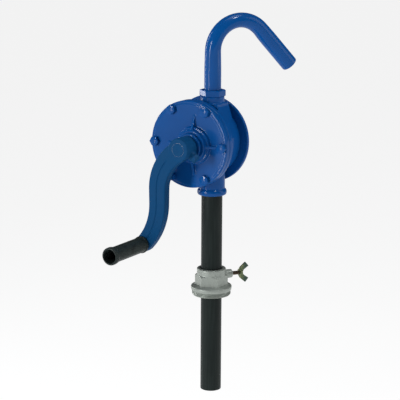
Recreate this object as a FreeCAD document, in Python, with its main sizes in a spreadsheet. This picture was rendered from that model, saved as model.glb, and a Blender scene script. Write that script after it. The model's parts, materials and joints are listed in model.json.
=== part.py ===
import FreeCAD, Part
import math
import os
import re

import Sketcher

# Hand-cranked rotary vane pump for liquid drums, in millimetres.
# +Z is up along the suction tube, the front cover faces -Y, and the origin is on the tube's axis
# at the underside of the bung adapter's flange, where the adapter sits on the drum.

Vector = FreeCAD.Vector
Rotation = FreeCAD.Rotation
UP = Rotation()
BACK = Rotation(Vector(1, 0, 0), -90)          # turns a primitive's own Z to the row's +Y

DIMENSIONS = {
    # bung adapter
    "bung_radius": 29.8, "bung_length": 7.5, "bung_chamfer": 1.5,
    "rim_radius": 31.3, "rim_height": 6.5, "rim_round": 0.9, "cone_top": 8.4,
    "hex_radius": 25.5, "hex_top": 24, "hex_turn": 23.8,
    "collar_radius": 22.2, "collar_top": 34.2, "collar_round": 1.2,
    "adapter_bore": 16.4, "seal_wire": 1.2, "seal_height": 14,
    "clamp_turn": 53.8, "clamp_height": 21.8,
    "clamp_boss_radius": 6.9, "clamp_boss_reach": 34,
    # wing screw
    "screw_radius": 3.15, "screw_tip": 16.4, "screw_shoulder": 46, "wing_hub_radius": 5.5,
    "wing_hub_end": 52.7, "wing_thick": 2.8, "wing_spread": 15.5, "wing_reach": 61.2,
    "wing_tip_slope": 4.6, "wing_tip_drop": 5.2,
    # tubes
    "tube_radius": 16, "tube_wall": 1.8, "tube_bottom": -160, "tube_top": 175,
    "inner_radius": 13.9, "inner_wall": 1.6, "inner_top": 140, "foot_slot": 5, "foot_slot_height": 8,
    # pump casing
    "pump_x": -18, "pump_z": 230.5, "shaft_x": -8, "bore_radius": 43, "barrel_radius": 54,
    "flange_radius": 66, "flange_back": 20, "casing_front": 29.7, "casing_back": 21.8,
    "block_half": 18.5, "block_reach": 60.5, "block_round": 6,
    "bead_radius": 22.7, "bead_bottom": 149.8, "bead_top": 158.4, "bead_round": 2.4,
    "lower_neck": 19.6, "upper_neck": 17.8, "neck_top": 300.5, "port_radius": 12,
    "gasket_thick": 0.5,
    # spout lock nut
    "nut_radius": 19.75, "nut_top": 310, "nut_corner": 19.2, "nut_turn": 30,
    # covers
    "cover_radius": 66, "cover_front": 39.2, "cover_round": 1.8,
    "boss_radius": 28, "boss_front": 44,
    "step_radius": 24, "step_front": 51, "step_round": 1.8,
    "rib_reach": 46, "rib_short": 39, "rib_thick": 4, "rib_height": 7,
    "rear_radius": 66.5, "rear_front": 22.3, "rear_back": 28.4,
    "rear_boss_radius": 19, "rear_boss_back": 40,
    "bolt_circle": 58.5, "bolt_radius": 4, "bolt_head_radius": 7.5, "bolt_head_height": 5.3,
    "rear_screw_circle": 48.5, "rear_screw_radius": 3, "rear_screw_head": 5.77,
    "rear_screw_head_height": 4, "rear_screw_end": 8,
    # shaft, bearings and packing
    "shaft_radius": 10, "shaft_front": 85, "shaft_back": 36, "running_fit": 0.05,
    "bushing_radius": 13.5, "packing_radius": 17.4, "packing_front": 44, "packing_back": 38,
    "gland_radius": 20.2, "gland_front": 57, "gland_hole": 10.4, "gland_round": 1.4,
    # rotor and vanes
    "rotor_radius": 32.5, "side_gap": 0.15, "slot_width": 5.1,
    "vane_thick": 5, "vane_inner": 4.3, "vane_outer": 32.3,
    "spring_hole": 1.9, "spring_depth": 6, "spring_coil": 1.4, "spring_wire": 0.3,
    # crank, with its centre line's bends
    "hub_radius": 17, "hub_back": 59, "arm_thick": 15, "arm_half": 15.3, "arm_end_half": 12.3,
    "bend_one_x": 31, "bend_one_z": -63.6, "bend_one_radius": 68.3, "bend_one_angle": 64,
    "arm_straight": 22.4, "bend_two_radius": 93.7, "bend_two_angle": 43.9,
    "tip_radius": 12.3,
    "set_turn": -32, "set_depth": 68, "set_boss_radius": 7.5, "set_boss_reach": 21.5,
    # handle
    "spindle_radius": 5, "spindle_front": 148, "spindle_back": 74,
    "grip_back": 85.5, "grip_front": 170.5, "grip_radius": 11.9, "grip_flange": 13.2,
    "grip_flange_length": 3, "grip_bead": 13.5, "grip_bead_length": 10, "grip_mouth": 9.7,
    "grip_mouth_depth": 28, "grip_bead_round": 1.2, "grip_fit": 0.08, "clip_radius": 7.2,
    # spout
    "spout_radius": 12.6, "spout_wall": 1.6, "spout_bottom": 288, "bend_start": 366.3,
    "bend_radius": 45.2, "bend_angle": 137.4, "spout_tail": 76, "spout_turn": 57,
}

doc = FreeCAD.newDocument("drum_pump")
sheet = doc.addObject("Spreadsheet::Sheet", "dims")
nodes = []


def value(name):
    """A driving dimension as a number, for the few places that take no formula."""
    return float(sheet.get(name))


def fill_sheet():
    for row, (name, number) in enumerate(DIMENSIONS.items(), start=1):
        sheet.set("A%d" % row, name)
        sheet.set("B%d" % row, str(number))
        sheet.setAlias("B%d" % row, name)
    doc.recompute()


def sheet_formula(formula):
    """The formula with every driving dimension's name pointing at the sheet."""
    def cell(match):
        word = match.group()
        return "dims." + word if word in DIMENSIONS else word
    return re.sub(r"[a-z_]+", cell, formula)


def bind(thing, prop, formula):
    thing.setExpression(prop, sheet_formula(formula))


def place(thing, x, y, z, turn=UP):
    thing.Placement = FreeCAD.Placement(Vector(), turn)
    bind(thing, "Placement.Base.x", x)
    bind(thing, "Placement.Base.y", y)
    bind(thing, "Placement.Base.z", z)
    return thing


def keep(thing, label):
    """Names a finished sub-part; its label is the name of its file."""
    thing.Label = label
    nodes.append(thing)
    return thing


def cylinder(radius, length, x="0", y="0", z="0", turn=UP):
    solid = doc.addObject("Part::Cylinder", "cylinder")
    bind(solid, "Radius", radius)
    bind(solid, "Height", length)
    return place(solid, x, y, z, turn)


def disc(radius, front, back, x="pump_x", z="pump_z"):
    """A round plate across Y, from -front to +back."""
    return cylinder(radius, "(%s) + (%s)" % (front, back), x, "-(%s)" % front, z, BACK)


def cone(radius_low, radius_high, length, x="0", y="0", z="0", turn=UP):
    solid = doc.addObject("Part::Cone", "cone")
    bind(solid, "Radius1", radius_low)
    bind(solid, "Radius2", radius_high)
    bind(solid, "Height", length)
    return place(solid, x, y, z, turn)


def ring(major, minor, x="0", y="0", z="0", turn=UP):
    solid = doc.addObject("Part::Torus", "ring")
    bind(solid, "Radius1", major)
    bind(solid, "Radius2", minor)
    return place(solid, x, y, z, turn)


def block(size_x, size_y, size_z, x, y, z, turn=UP):
    solid = doc.addObject("Part::Box", "block")
    bind(solid, "Length", size_x)
    bind(solid, "Width", size_y)
    bind(solid, "Height", size_z)
    return place(solid, x, y, z, turn)


def hexagon(radius, length, x="0", y="0", z="0", turn=UP):
    solid = doc.addObject("Part::Prism", "hexagon")
    solid.Polygon = 6
    bind(solid, "Circumradius", radius)
    bind(solid, "Height", length)
    return place(solid, x, y, z, turn)


def fuse(*solids):
    joined = doc.addObject("Part::MultiFuse", "joined")
    joined.Shapes = list(solids)
    joined.Refine = True
    return joined


def cut(base, *tools):
    tool = tools[0] if len(tools) == 1 else fuse(*tools)
    result = doc.addObject("Part::Cut", "cut")
    result.Base = base
    result.Tool = tool
    return result


def group(*solids):
    """Separate solids that share one node, such as a set of bolts."""
    result = doc.addObject("Part::Compound", "group")
    result.Links = list(solids)
    return result


def rounded(base, radius, wanted):
    """Rounds the edges of base for which wanted(edge) is true."""
    doc.recompute()
    picked = [number for number, edge in enumerate(base.Shape.Edges, start=1) if wanted(edge)]
    if not picked:
        raise ValueError("no edge to round on " + base.Name)
    result = doc.addObject("Part::Fillet", "rounded")
    result.Base = base
    result.Edges = [(number, value(radius), value(radius)) for number in picked]
    return result


def circle_at(radius, y=None, z=None):
    """A test for full round edges of one radius, in the plane at y or z."""
    def wanted(edge):
        if not isinstance(edge.Curve, Part.Circle) or abs(edge.Curve.Radius - radius) > 0.01:
            return False
        centre = edge.Curve.Center
        in_y = y is None or abs(centre.y - y) < 0.01
        in_z = z is None or abs(centre.z - z) < 0.01
        return in_y and in_z
    return wanted


def upright_edge(edge):
    """A test for straight edges along Z."""
    ends = [vertex.Point for vertex in edge.Vertexes]
    return len(ends) == 2 and abs(ends[0].x - ends[1].x) < 0.01 and abs(ends[0].y - ends[1].y) < 0.01


def radial(angle):
    """Turns a primitive's own Z to a level direction, an angle round from +X."""
    return Rotation(Vector(0, 0, 1), angle).multiply(Rotation(Vector(0, 1, 0), 90))


def crosswise(angle):
    """Turns a primitive's own Z to a direction in the XZ plane, an angle up from +X."""
    return Rotation(Vector(0, 1, 0), 90 - angle)


# ---------------------------------------------------------------- bung adapter

def make_adapter():
    thread = cylinder("bung_radius", "bung_length", z="-bung_length")
    rim = cylinder("rim_radius", "rim_height")
    slope = cone("rim_radius - rim_round", "hex_radius - 0.5", "cone_top - rim_height", z="rim_height")
    hexagonal = hexagon("hex_radius", "hex_top - rim_height", z="rim_height",
                        turn=Rotation(Vector(0, 0, 1), value("hex_turn")))
    collar = cylinder("collar_radius", "collar_top - hex_top", z="hex_top")
    towards_screw = radial(value("clamp_turn"))
    boss = cylinder("clamp_boss_radius", "clamp_boss_reach", z="clamp_height", turn=towards_screw)
    outside = fuse(thread, rim, slope, hexagonal, collar, boss)
    bore = cylinder("adapter_bore", "bung_length + collar_top + 2", z="-bung_length - 1")
    tapped = cylinder("screw_radius + running_fit", "clamp_boss_reach + 1", z="clamp_height",
                      turn=towards_screw)
    groove = cylinder("adapter_bore + 2 * seal_wire", "2 * seal_wire", z="seal_height - seal_wire")
    hollow = cut(outside, bore, tapped, groove)
    low_edge = rounded(hollow, "bung_chamfer", circle_at(value("bung_radius"), z=-value("bung_length")))
    keep(rounded(low_edge, "collar_round", circle_at(value("collar_radius"), z=value("collar_top"))),
         "bung_adapter")


def make_tube_seal():
    seal = ring("adapter_bore - 0.3 + seal_wire", "seal_wire", z="seal_height")
    keep(seal, "tube_seal")


def wing_outline(sketch, side):
    """One wing of the screw head: four corners, from the hub out to the tip."""
    corners = [("screw_shoulder + 1", "1"), ("wing_reach - wing_tip_slope", "wing_spread"),
               ("wing_reach", "wing_spread - wing_tip_drop"), ("wing_hub_end", "1")]
    reach, spread = value("wing_reach"), value("wing_spread")
    points = [Vector(value("screw_shoulder") + 1, side, 0),
              Vector(reach - value("wing_tip_slope"), side * spread, 0),
              Vector(reach, side * (spread - value("wing_tip_drop")), 0),
              Vector(value("wing_hub_end"), side, 0)]
    first = sketch.GeometryCount
    for number in range(4):
        line = Part.LineSegment(points[number], points[(number + 1) % 4])
        sketch.addGeometry(line, False)
    for number in range(4):
        here = first + number
        after = first + (number + 1) % 4
        sketch.addConstraint(Sketcher.Constraint("Coincident", here, 2, after, 1))
    for number, (along, out) in enumerate(corners):
        here = first + number
        index = sketch.addConstraint(Sketcher.Constraint("DistanceX", -1, 1, here, 1, points[number].x))
        sketch.setExpression("Constraints[%d]" % index, sheet_formula(along))
        index = sketch.addConstraint(Sketcher.Constraint("DistanceY", -1, 1, here, 1, points[number].y))
        sketch.setExpression("Constraints[%d]" % index, sheet_formula("%d * (%s)" % (side, out)))


def make_wing_screw():
    body = doc.addObject("PartDesign::Body", "wing_screw_body")
    plane = origin_plane(body, "XY_Plane")
    wings = []
    for side in (1, -1):
        sketch = body.newObject("Sketcher::SketchObject", "wing_sketch")
        sketch.AttachmentSupport = [(plane, "")]
        sketch.MapMode = "FlatFace"
        wing_outline(sketch, side)
        wing = body.newObject("PartDesign::Pad", "wing")
        wing.Profile = sketch
        wing.Midplane = True
        bind(wing, "Length", "wing_thick")
        wings.append(wing)
    lengthwise = Rotation(Vector(0, 1, 0), 90)
    stem = body.newObject("PartDesign::AdditiveCylinder", "stem")
    bind(stem, "Radius", "screw_radius")
    bind(stem, "Height", "wing_hub_end - screw_tip - 1")
    stem.AttachmentOffset = FreeCAD.Placement(Vector(value("screw_tip"), 0, 0), lengthwise)
    stem.AttachmentSupport = [(plane, "")]
    stem.MapMode = "FlatFace"
    hub = body.newObject("PartDesign::AdditiveCylinder", "hub")
    bind(hub, "Radius", "wing_hub_radius")
    bind(hub, "Height", "wing_hub_end - screw_shoulder")
    hub.AttachmentOffset = FreeCAD.Placement(Vector(value("screw_shoulder"), 0, 0), lengthwise)
    hub.AttachmentSupport = [(plane, "")]
    hub.MapMode = "FlatFace"
    body.Tip = hub
    upright = Rotation(Vector(1, 0, 0), 90)
    turn = Rotation(Vector(0, 0, 1), value("clamp_turn")).multiply(upright)
    place(body, "0", "0", "clamp_height", turn)
    keep(body, "wing_screw")


def origin_plane(body, role):
    return [item for item in body.Origin.OriginFeatures if item.Role == role][0]


# ---------------------------------------------------------------- suction tubes

def make_suction_tube():
    outside = cylinder("tube_radius", "tube_top - tube_bottom", z="tube_bottom")
    inside = cylinder("tube_radius - tube_wall", "tube_top - tube_bottom + 2", z="tube_bottom - 1")
    keep(cut(outside, inside), "suction_tube")


def make_inner_tube():
    """The length that draws out; two crossing slots keep its foot from sealing on the drum's floor."""
    outside = cylinder("inner_radius", "inner_top - tube_bottom", z="tube_bottom")
    inside = cylinder("inner_radius - inner_wall", "inner_top - tube_bottom + 2", z="tube_bottom - 1")
    along = block("4 * inner_radius", "foot_slot", "foot_slot_height + 1",
                  "-2 * inner_radius", "-foot_slot / 2", "tube_bottom - 1")
    across = block("foot_slot", "4 * inner_radius", "foot_slot_height + 1",
                   "-foot_slot / 2", "-2 * inner_radius", "tube_bottom - 1")
    keep(cut(outside, inside, along, across), "telescopic_tube")


# ---------------------------------------------------------------- casing and covers

def around(count, start, radius_name):
    """Formulas for x and z of places spaced round the casing's axis."""
    places = []
    for number in range(count):
        angle = start + 360.0 * number / count
        places.append(("pump_x + %s * cos(%g deg)" % (radius_name, angle),
                       "pump_z + %s * sin(%g deg)" % (radius_name, angle)))
    return places


def make_casing():
    barrel = disc("barrel_radius", "casing_front", "casing_back")
    flange = disc("flange_radius", "casing_front", "-flange_back")
    ports = block("2 * block_half", "2 * block_half", "block_reach",
                  "-block_half", "-block_half", "pump_z")
    ports = rounded(ports, "block_round", upright_edge)
    lower = cylinder("lower_neck", "pump_z - 30 - bead_bottom", z="bead_bottom")
    bead = cylinder("bead_radius", "bead_top - bead_bottom", z="bead_bottom")
    upper = cylinder("upper_neck", "neck_top - pump_z - 30", z="pump_z + 30")
    solid = fuse(barrel, flange, ports, lower, bead, upper)

    bore = disc("bore_radius", "casing_front + 1", "casing_back + 1")
    socket = cylinder("tube_radius + running_fit", "tube_top - bead_bottom + 1.5", z="bead_bottom - 1")
    inlet = cylinder("port_radius", "pump_z - 30 - bead_bottom", z="bead_bottom")
    outlet = cylinder("spout_radius + running_fit", "neck_top - spout_bottom + 1.5",
                      z="spout_bottom - 0.5")
    throat = cylinder("spout_radius - spout_wall", "spout_bottom - pump_z - 30", z="pump_z + 30")
    seal_seat = cylinder("spout_radius + 2.6", "3.5", z="neck_top - 2.5")
    bolt_holes = [disc("bolt_radius + running_fit", "casing_front + 1", "-flange_back + 1", x, z)
                  for x, z in around(6, 0, "bolt_circle")]
    screw_holes = [disc("rear_screw_radius + running_fit", "-rear_screw_end + 0.5", "casing_back + 1", x, z)
                   for x, z in around(6, 30, "rear_screw_circle")]
    hollow = cut(solid, bore, socket, inlet, outlet, throat, seal_seat, *bolt_holes, *screw_holes)
    keep(rounded(hollow, "bead_round", circle_at(value("bead_radius"))), "pump_body")


def make_lock_nut():
    hexagonal = hexagon("nut_radius", "nut_top - neck_top", z="neck_top",
                        turn=Rotation(Vector(0, 0, 1), value("nut_turn")))
    limit = cylinder("nut_corner", "nut_top - neck_top", z="neck_top")
    nut = doc.addObject("Part::MultiCommon", "nut_limit")
    nut.Shapes = [hexagonal, limit]
    hexagonal.Placement.Rotation = Rotation(Vector(0, 0, 1), 30)
    hole = cylinder("spout_radius + running_fit", "nut_top - neck_top + 2", z="neck_top - 1")
    keep(cut(nut, hole), "spout_lock_nut")


def make_front_cover():
    plate = disc("cover_radius", "cover_front", "-casing_front - gasket_thick")
    boss = disc("boss_radius", "boss_front", "-cover_front", "shaft_x")
    step = disc("step_radius", "step_front", "-boss_front", "shaft_x")
    ribs = []
    for angle in (0, 90, 180, 270):
        reach = "rib_short" if angle == 0 else "rib_reach"
        rib = doc.addObject("Part::Wedge", "rib")
        bind(rib, "Xmin", "0")
        bind(rib, "Xmax", reach)
        bind(rib, "Ymin", "0")
        bind(rib, "Ymax", "rib_height")
        bind(rib, "Zmin", "-rib_thick / 2")
        bind(rib, "Zmax", "rib_thick / 2")
        bind(rib, "X2min", "0")
        bind(rib, "X2max", "step_radius")
        bind(rib, "Z2min", "-rib_thick / 2")
        bind(rib, "Z2max", "rib_thick / 2")
        lay = Rotation(Vector(0, 1, 0), -angle).multiply(Rotation(Vector(1, 0, 0), 180))
        ribs.append(place(rib, "shaft_x", "-cover_front + 0.2", "pump_z", lay))
    solid = fuse(plate, boss, step, *ribs)
    shaft_hole = disc("bushing_radius", "cover_front + 2", "-casing_front", "shaft_x")
    chamber = disc("packing_radius + running_fit", "step_front + 1", "-packing_back", "shaft_x")
    holes = [disc("bolt_radius + 0.3", "cover_front + 1", "-casing_front", x, z)
             for x, z in around(6, 0, "bolt_circle")]
    hollow = cut(solid, shaft_hole, chamber, *holes)
    rim = rounded(hollow, "cover_round", circle_at(value("cover_radius"), y=-value("cover_front")))
    keep(rounded(rim, "step_round", circle_at(value("step_radius"), y=-value("step_front"))),
         "front_cover")


def make_gaskets():
    front = disc("flange_radius - 1", "casing_front + gasket_thick", "-casing_front")
    opening = disc("bore_radius", "casing_front + 1", "-casing_front + 1")
    holes = [disc("bolt_radius + 0.3", "casing_front + 1", "-casing_front + 1", x, z)
             for x, z in around(6, 0, "bolt_circle")]
    keep(cut(front, opening, *holes), "front_gasket")
    rear = disc("barrel_radius - 1", "-casing_back", "rear_front")
    rear_opening = disc("bore_radius", "-casing_back + 1", "rear_front + 1")
    rear_holes = [disc("rear_screw_radius + 0.2", "-casing_back + 1", "rear_front + 1", x, z)
                  for x, z in around(6, 30, "rear_screw_circle")]
    keep(cut(rear, rear_opening, *rear_holes), "rear_gasket")


def make_rear_cover():
    plate = disc("rear_radius", "-rear_front", "rear_back")
    boss = disc("rear_boss_radius", "-rear_front", "rear_boss_back", "shaft_x")
    pocket = disc("bushing_radius", "-rear_front + 1", "shaft_back + 0.5", "shaft_x")
    holes = [disc("rear_screw_radius + 0.2", "-rear_front + 1", "rear_back + 1", x, z)
             for x, z in around(6, 30, "rear_screw_circle")]
    hollow = cut(fuse(plate, boss), pocket, *holes)
    rim = rounded(hollow, "cover_round", circle_at(value("rear_radius"), y=value("rear_back")))
    keep(rounded(rim, "step_round", circle_at(value("rear_boss_radius"), y=value("rear_boss_back"))),
         "rear_cover")


def make_bolts():
    bolts = []
    for x, z in around(6, 0, "bolt_circle"):
        shank = disc("bolt_radius", "cover_front + 1", "-flange_back - 0.5", x, z)
        head = hexagon("bolt_head_radius", "bolt_head_height", x, "-cover_front - bolt_head_height",
                       z, BACK)
        bolts.append(fuse(shank, head))
    keep(group(*bolts), "cover_bolts")
    screws = []
    for x, z in around(6, 30, "rear_screw_circle"):
        shank = disc("rear_screw_radius", "-rear_screw_end - 1", "rear_back + 1", x, z)
        head = hexagon("rear_screw_head", "rear_screw_head_height", x, "rear_back", z, BACK)
        screws.append(fuse(shank, head))
    keep(group(*screws), "rear_cover_screws")


# ---------------------------------------------------------------- shaft, bearings, packing

def make_bushings():
    front = disc("bushing_radius - 0.02", "packing_back", "-casing_front - gasket_thick", "shaft_x")
    front_hole = disc("shaft_radius + running_fit", "packing_back + 1", "-casing_front + 1", "shaft_x")
    keep(cut(front, front_hole), "front_bushing")
    rear = disc("bushing_radius - 0.02", "-rear_front - 0.2", "shaft_back - 1", "shaft_x")
    rear_hole = disc("shaft_radius + running_fit", "-rear_front + 1", "shaft_back + 1", "shaft_x")
    keep(cut(rear, rear_hole), "rear_bushing")


def make_packing():
    packing = disc("packing_radius", "packing_front", "-packing_back", "shaft_x")
    hole = disc("shaft_radius + running_fit", "packing_front + 1", "-packing_back + 1", "shaft_x")
    keep(cut(packing, hole), "shaft_packing")
    spigot = disc("packing_radius", "gland_front - 1", "-packing_front", "shaft_x")
    head = disc("gland_radius", "gland_front", "-step_front", "shaft_x")
    bore = disc("gland_hole", "gland_front + 1", "-packing_front + 1", "shaft_x")
    nut = cut(fuse(spigot, head), bore)
    keep(rounded(nut, "gland_round", circle_at(value("gland_radius"), y=-value("gland_front"))),
         "packing_nut")


# ---------------------------------------------------------------- rotor and vanes

def make_rotor():
    """The drum and its shaft are one piece; a slot right through the drum carries both vanes."""
    front = "casing_front + gasket_thick - side_gap"
    drum = disc("rotor_radius", front, "rear_front - side_gap", "shaft_x")
    bar = disc("shaft_radius", "shaft_front", "shaft_back", "shaft_x")
    slot = block("2 * rotor_radius + 2", "casing_front + gasket_thick + rear_front - 2 * side_gap",
                 "slot_width", "shaft_x - rotor_radius - 1", "-casing_front - gasket_thick + side_gap",
                 "pump_z - slot_width / 2")
    mark = cone("2.4", "0.2", "2.2", "shaft_x", "-shaft_front", "pump_z", BACK)
    keep(cut(fuse(drum, bar), slot, mark), "rotor_shaft")


def make_vanes():
    length = "vane_outer - vane_inner"
    for label, side in (("vane_left", -1), ("vane_right", 1)):
        low_x = "shaft_x - vane_outer" if side < 0 else "shaft_x + vane_inner"
        plate = block(length, "casing_front + gasket_thick + rear_front - 2 * side_gap", "vane_thick",
                      low_x, "-casing_front - gasket_thick + side_gap", "pump_z - vane_thick / 2")
        turn = crosswise(90 - 90 * side)
        holes = [cylinder("spring_hole", "vane_inner + spring_depth", "shaft_x", depth, "pump_z", turn)
                 for depth in ("-20", "-4", "12")]
        keep(cut(plate, *holes), label)


def make_springs():
    """Three coil springs between the vanes, which push them out against the bore."""
    wire = value("spring_wire")
    coil = value("spring_coil")
    length = 2 * (value("vane_inner") + value("spring_depth")) - 2 * wire - 0.2
    springs = []
    for depth in (-20, -4, 12):
        path = Part.makeHelix(length / 8, length, coil)
        section = Part.Wire(Part.makeCircle(wire, Vector(coil, 0, 0), Vector(0, 1, 0)))
        spring = Part.Wire(path.Edges).makePipeShell([section], True, True)
        spring.translate(Vector(0, 0, -length / 2))
        spring.rotate(Vector(), Vector(0, 1, 0), 90)
        spring.translate(Vector(value("shaft_x"), depth, value("pump_z")))
        springs.append(spring)
    feature = doc.addObject("Part::Feature", "springs")
    feature.Shape = Part.makeCompound(springs)
    keep(feature, "vane_springs")


# ---------------------------------------------------------------- crank and handle

def arm_stations(side):
    """Points along one edge of the crank (side 1 or -1) or its centre line (side 0), from the shaft.

    Each stretch is (kind, points): an arc of three points or a line of two. The crank narrows
    steadily from the shaft to the handle.
    """
    one = value("bend_one_radius")
    two = value("bend_two_radius")
    angle_one = math.radians(value("bend_one_angle"))
    angle_two = math.radians(value("bend_two_angle"))
    straight = value("arm_straight")
    total = one * angle_one + straight + two * angle_two

    def offset(run):
        return side * (value("arm_half") + (value("arm_end_half") - value("arm_half")) * run / total)

    def on_first(share):
        angle = math.pi - angle_one * (1 - share)
        reach = one - offset(one * angle_one * share)
        return value("bend_one_x") + reach * math.cos(angle), value("bend_one_z") + reach * math.sin(angle)

    def on_second(share):
        angle = -angle_two * share
        reach = two + offset(one * angle_one + straight + two * angle_two * share)
        centre_x = value("bend_one_x") - one - two
        centre_z = value("bend_one_z") - straight
        return centre_x + reach * math.cos(angle), centre_z + reach * math.sin(angle)

    return [("arc", [on_first(0), on_first(0.5), on_first(1)]), ("line", [on_first(1), on_second(0)]),
            ("arc", [on_second(0), on_second(0.5), on_second(1)])]


def handle_axis():
    """Where the handle's axis crosses the XZ plane."""
    tip = arm_stations(0)[-1][1][-1]
    return value("shaft_x") + tip[0], value("pump_z") + tip[1]


def arm_edges(side):
    edges = []
    shaft = Vector(value("shaft_x"), -value("shaft_front"), value("pump_z"))
    for kind, points in arm_stations(side):
        places = [shaft + Vector(x, 0, z) for x, z in points]
        edges.append(Part.Arc(*places).toShape() if kind == "arc" else Part.makeLine(*places))
    return edges


def make_crank():
    near = arm_edges(1)
    far = arm_edges(-1)
    ends = [Part.makeLine(near[index].Vertexes[corner].Point, far[index].Vertexes[corner].Point)
            for index, corner in ((0, 0), (-1, -1))]
    outline = Part.Wire(Part.__sortEdges__(near + far + ends))
    bar = doc.addObject("Part::Feature", "arm_bar")
    bar.Shape = Part.Face(outline).extrude(Vector(0, value("arm_thick"), 0))

    tip_x, tip_z = (str(number) for number in handle_axis())
    hub = disc("hub_radius", "shaft_front", "-hub_back", "shaft_x")
    tip_end = disc("tip_radius", "shaft_front", "-shaft_front + arm_thick", tip_x, tip_z)
    set_boss = cylinder("set_boss_radius", "set_boss_reach", "shaft_x", "-set_depth", "pump_z",
                        crosswise(value("set_turn")))
    solid = fuse(bar, hub, tip_end, set_boss)
    shaft_hole = disc("shaft_radius + 0.02", "shaft_front + 1", "-hub_back + 1", "shaft_x")
    pin_hole = disc("spindle_radius + 0.03", "shaft_front + 1", "-spindle_back + 2", tip_x, tip_z)
    set_hole = cylinder("bolt_radius + 0.02", "set_boss_reach + 1", "shaft_x", "-set_depth", "pump_z",
                        crosswise(value("set_turn")))
    keep(cut(solid, shaft_hole, pin_hole, set_hole), "crank_arm")


def make_set_screw():
    turn = crosswise(value("set_turn"))
    along = math.radians(value("set_turn"))
    def out(distance):
        return ("shaft_x + (%s) * %.6f" % (distance, math.cos(along)),
                "pump_z + (%s) * %.6f" % (distance, math.sin(along)))
    tip_x, tip_z = out("shaft_radius + 0.1")
    head_x, head_z = out("set_boss_reach")
    shank = cylinder("bolt_radius", "set_boss_reach - shaft_radius + 1", tip_x, "-set_depth", tip_z, turn)
    head = hexagon("bolt_head_radius", "bolt_head_height", head_x, "-set_depth", head_z, turn)
    keep(fuse(shank, head), "crank_set_screw")


def make_handle():
    tip_x, tip_z = (str(number) for number in handle_axis())
    spindle = disc("spindle_radius", "spindle_front", "-spindle_back", tip_x, tip_z)
    keep(spindle, "grip_spindle")
    clip = disc("clip_radius", "spindle_front - 1", "-spindle_front + 2.5", tip_x, tip_z)
    clip_hole = disc("spindle_radius + 0.03", "spindle_front", "-spindle_front + 4", tip_x, tip_z)
    keep(cut(clip, clip_hole), "grip_retainer")
    barrel = disc("grip_radius", "grip_front - 1", "-grip_back", tip_x, tip_z)
    flange = disc("grip_flange", "grip_back + grip_flange_length", "-grip_back", tip_x, tip_z)
    bead = disc("grip_bead", "grip_front", "-grip_front + grip_bead_length", tip_x, tip_z)
    bore = disc("spindle_radius + grip_fit", "grip_front", "-grip_back + 1", tip_x, tip_z)
    mouth = disc("grip_mouth", "grip_front + 1", "-grip_front + grip_mouth_depth", tip_x, tip_z)
    solid = cut(fuse(barrel, flange, bead), bore, mouth)
    keep(rounded(solid, "grip_bead_round", circle_at(value("grip_bead"))), "grip")


# ---------------------------------------------------------------- spout

def make_spout():
    body = doc.addObject("PartDesign::Body", "spout_body")
    path = body.newObject("Sketcher::SketchObject", "spout_path")
    path.AttachmentSupport = [(origin_plane(body, "XZ_Plane"), "")]
    path.MapMode = "FlatFace"
    bottom = value("spout_bottom")
    start = value("bend_start")
    radius = value("bend_radius")
    turn = math.radians(value("bend_angle"))
    tail = value("spout_tail")
    bend_end = Vector(radius * (1 - math.cos(turn)), start + radius * math.sin(turn), 0)
    mouth = bend_end + Vector(math.sin(turn), math.cos(turn), 0) * tail
    path.addGeometry(Part.LineSegment(Vector(0, bottom, 0), Vector(0, start, 0)), False)
    arc = Part.ArcOfCircle(Part.Circle(Vector(radius, start, 0), Vector(0, 0, 1), radius),
                           math.pi - turn, math.pi)
    path.addGeometry(arc, False)
    path.addGeometry(Part.LineSegment(bend_end, mouth), False)
    path.addConstraint(Sketcher.Constraint("PointOnObject", 0, 1, -2))
    path.addConstraint(Sketcher.Constraint("Vertical", 0))
    path.addConstraint(Sketcher.Constraint("Tangent", 0, 2, 1, 2))
    path.addConstraint(Sketcher.Constraint("Tangent", 1, 1, 2, 1))
    sizes = [(Sketcher.Constraint("DistanceY", -1, 1, 0, 1, bottom), "spout_bottom"),
             (Sketcher.Constraint("DistanceY", -1, 1, 0, 2, start), "bend_start"),
             (Sketcher.Constraint("Radius", 1, radius), "bend_radius"),
             (Sketcher.Constraint("Distance", 2, tail), "spout_tail"),
             (Sketcher.Constraint("Angle", 1, turn), "bend_angle * 1 deg")]
    for constraint, formula in sizes:
        index = path.addConstraint(constraint)
        path.setExpression("Constraints[%d]" % index, sheet_formula(formula))
    section = body.newObject("Sketcher::SketchObject", "spout_section")
    section.AttachmentSupport = [(origin_plane(body, "XY_Plane"), "")]
    section.MapMode = "FlatFace"
    bind(section, "AttachmentOffset.Base.z", "spout_bottom")
    for number, formula in enumerate(("spout_radius", "spout_radius - spout_wall")):
        section.addGeometry(Part.Circle(Vector(), Vector(0, 0, 1), 12 - 2 * number), False)
        section.addConstraint(Sketcher.Constraint("Coincident", number, 3, -1, 1))
        index = section.addConstraint(Sketcher.Constraint("Radius", number, 12 - 2 * number))
        section.setExpression("Constraints[%d]" % index, sheet_formula(formula))
    pipe = body.newObject("PartDesign::AdditivePipe", "spout_pipe")
    pipe.Profile = section
    pipe.Spine = (path, [])
    body.Tip = pipe
    place(body, "0", "0", "0", Rotation(Vector(0, 0, 1), value("spout_turn")))
    keep(body, "discharge_spout")
    seal = ring("spout_radius + running_fit + 1.25", "1.2", z="neck_top - 1.25")
    keep(seal, "spout_seal")


# ---------------------------------------------------------------- assembly

def check_and_write():
    doc.recompute()
    for thing in doc.Objects:
        if "Invalid" in thing.State or "Error" in thing.State:
            raise RuntimeError("%s (%s) failed" % (thing.Label, thing.Name))
    os.makedirs("parts", exist_ok=True)
    for node in nodes:
        shape = node.Shape
        if shape.isNull() or not shape.isValid():
            raise RuntimeError(node.Label + " has no valid shape")
        shape.exportStep(os.path.join("parts", node.Label + ".step"))
        print("%-18s %3d solid(s) %10.1f mm3" % (node.Label, len(shape.Solids), shape.Volume))


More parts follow.
